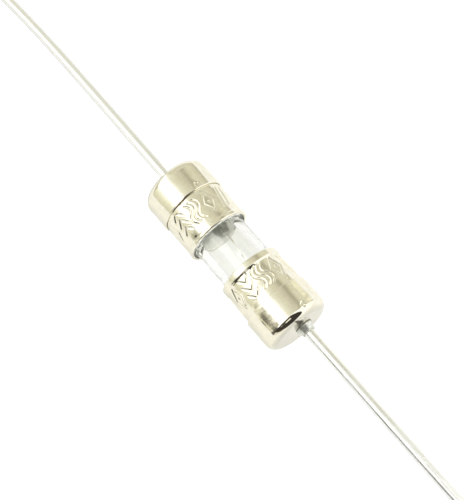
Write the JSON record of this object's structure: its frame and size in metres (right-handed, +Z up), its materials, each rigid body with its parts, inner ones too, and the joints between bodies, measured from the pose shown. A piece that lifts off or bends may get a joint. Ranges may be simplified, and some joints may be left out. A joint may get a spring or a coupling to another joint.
{
  "type": "glass cartridge fuse",
  "caption": "Miniature glass tube fuse with stepped nickel plated metal ends and a straight tinned lead out of each end.",
  "frame": {"origin": "middle of the body, halfway between the outer faces of the two lead caps, on the glass tube's axis", "axes": "+X along the body's axis from end A to end B, +Z up with the fuse lying on its side, both leads drooping towards -Z"},
  "size_m": [0.063, 0.0038, 0.0038],
  "materials": {
    "clear_glass": "polished",
    "fuse_alloy": "satin",
    "ferrule_nickel": "polished",
    "cap_nickel": "polished",
    "inner_solder": "satin",
    "outer_solder": "satin",
    "tinned_lead": "satin"
  },
  "bodies": {
    "root": {"glass_tube": "clear_glass", "fuse_wire": "fuse_alloy", "ferrule_a": "ferrule_nickel", "ferrule_b": "ferrule_nickel", "ferrule_solder_a": "inner_solder", "ferrule_solder_b": "inner_solder", "lead_cap_a": "cap_nickel", "lead_cap_b": "cap_nickel", "lead_wire_a": "tinned_lead", "lead_wire_b": "tinned_lead", "lead_solder_a": "outer_solder", "lead_solder_b": "outer_solder"}
  },
  "joints": []
}
